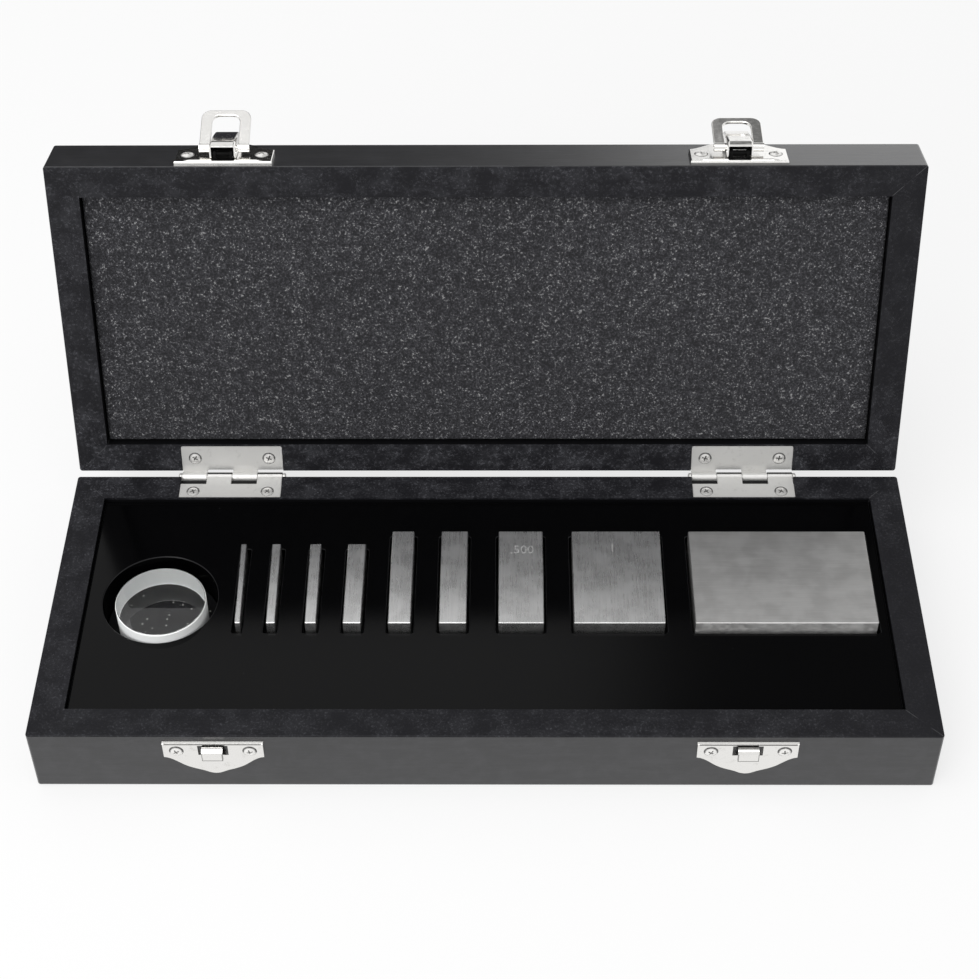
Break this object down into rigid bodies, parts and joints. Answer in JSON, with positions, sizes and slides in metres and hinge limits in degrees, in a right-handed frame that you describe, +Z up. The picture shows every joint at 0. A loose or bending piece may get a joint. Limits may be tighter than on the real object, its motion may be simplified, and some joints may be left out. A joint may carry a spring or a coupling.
{
  "type": "gauge block set",
  "caption": "Hinged black wooden case, open, with a foam-lined lid, two toggle latches, steel gauge blocks standing in a slotted insert and a round glass optical flat.",
  "frame": {"origin": "middle of the base's underside, on the surface the case stands on", "axes": "+X to the right along the row of blocks, +Y to the back towards the hinges, +Z up"},
  "size_m": [0.244, 0.1476, 0.1205],
  "materials": {
    "case_wood": "black-stained hardwood, satin, lightly scuffed",
    "insert_wood": "smooth satin black paint",
    "lid_foam": "open-cell foam, dark grey",
    "pad": "thin black felt",
    "block_steel": "lapped and finely brushed",
    "flat_glass": "polished faces, finely ground wall",
    "hinge_nickel": "nickel-plated sheet",
    "latch_nickel": "bright nickel plate",
    "screw_nickel": "nickel-plated screws"
  },
  "bodies": {
    "base": {"base_front_rail": "case_wood", "base_right_rail": "case_wood", "base_back_rail": "case_wood", "base_left_rail": "case_wood", "base_bottom_board": "case_wood", "insert": "insert_wood", "flat_pad": "pad", "optical_flat": "flat_glass", "gauge_block_0_0625_in": "block_steel", "gauge_block_0_100_in": "block_steel", "gauge_block_0_125_in": "block_steel", "gauge_block_0_200_in": "block_steel", "gauge_block_0_250_in": "block_steel", "gauge_block_0_300_in": "block_steel", "gauge_block_0_500_in": "block_steel", "gauge_block_1_000_in": "block_steel", "gauge_block_2_000_in": "block_steel", "left_hinge_base_leaf": "hinge_nickel", "right_hinge_base_leaf": "hinge_nickel", "left_hinge_pin": "hinge_nickel", "right_hinge_pin": "hinge_nickel", "left_strike_plate": "latch_nickel", "right_strike_plate": "latch_nickel", "base_hinge_screws": "screw_nickel", "strike_screws": "screw_nickel"},
    "lid": {"lid_front_rail": "case_wood", "lid_right_rail": "case_wood", "lid_back_rail": "case_wood", "lid_left_rail": "case_wood", "lid_top_board": "case_wood", "lid_foam": "lid_foam", "left_hinge_lid_leaf": "hinge_nickel", "right_hinge_lid_leaf": "hinge_nickel", "left_latch_plate": "latch_nickel", "right_latch_plate": "latch_nickel", "left_lever_pin": "latch_nickel", "right_lever_pin": "latch_nickel", "lid_hinge_screws": "screw_nickel", "latch_plate_screws": "screw_nickel"},
    "left_lever": {"left_latch_lever": "latch_nickel", "left_loop_pin": "latch_nickel"},
    "left_loop": {"left_latch_loop": "latch_nickel"},
    "right_lever": {"right_latch_lever": "latch_nickel", "right_loop_pin": "latch_nickel"},
    "right_loop": {"right_latch_loop": "latch_nickel"}
  },
  "joints": [
    {"name": "lid_hinge", "type": "hinge", "parent": "base", "child": "lid", "pos_m": [0, 0.0497, 0.0204], "axis": [1, 0, 0], "range_deg": [0, 104.4]},
    {"name": "left_lever_hinge", "type": "hinge", "parent": "lid", "child": "left_lever", "pos_m": [-0.0723, 0.07977, 0.1168], "axis": [1, 0, 0], "range_deg": [0, 80]},
    {"name": "left_loop_hinge", "type": "hinge", "parent": "left_lever", "child": "left_loop", "pos_m": [-0.0723, 0.0826, 0.11659], "axis": [1, 0, 0], "range_deg": [-35, 85]},
    {"name": "right_lever_hinge", "type": "hinge", "parent": "lid", "child": "right_lever", "pos_m": [0.0702, 0.07977, 0.1168], "axis": [1, 0, 0], "range_deg": [0, 80]},
    {"name": "right_loop_hinge", "type": "hinge", "parent": "right_lever", "child": "right_loop", "pos_m": [0.0702, 0.0826, 0.11659], "axis": [1, 0, 0], "range_deg": [-20, 100]}
  ]
}
